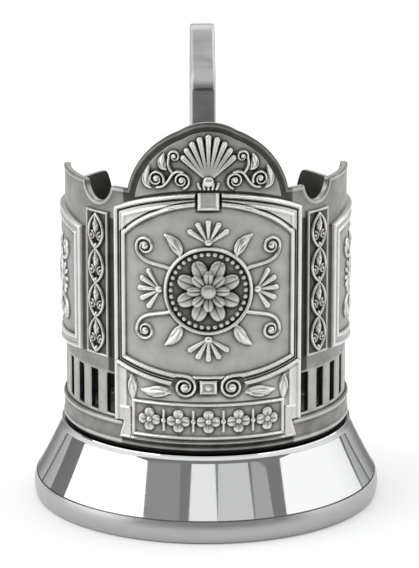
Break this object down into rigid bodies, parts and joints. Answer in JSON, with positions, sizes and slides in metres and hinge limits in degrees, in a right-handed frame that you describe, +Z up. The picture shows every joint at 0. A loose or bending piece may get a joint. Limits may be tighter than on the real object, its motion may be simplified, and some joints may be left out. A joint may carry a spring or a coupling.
{
  "type": "podstakannik tea glass holder",
  "caption": "Metal tea glass holder with a flared mirror foot, a pierced and crested ornamental sleeve, relief panels and a strap handle.",
  "frame": {"origin": "on the cup axis, at the surface that the holder stands on", "axes": "+Z up along the cup axis, -Y towards the front panel, +Y towards the handle"},
  "size_m": [0.0868, 0.1129, 0.1082],
  "materials": {
    "polished_metal": "mirror polish",
    "satin_metal": "satin",
    "antiqued_metal": "blackened recesses, worn bright edges"
  },
  "bodies": {
    "root": {"foot_ring": "satin_metal", "foot_skirt": "polished_metal", "glass_seat": "satin_metal", "sleeve": "antiqued_metal", "lower_band": "antiqued_metal", "front_cartouche": "antiqued_metal", "front_crest": "antiqued_metal", "front_ribbon": "antiqued_metal", "left_cartouche": "antiqued_metal", "right_cartouche": "antiqued_metal", "front_left_pilaster": "antiqued_metal", "front_right_pilaster": "antiqued_metal", "rear_left_pilaster": "antiqued_metal", "rear_right_pilaster": "antiqued_metal", "handle": "satin_metal", "thumb_plate": "satin_metal"}
  },
  "joints": []
}
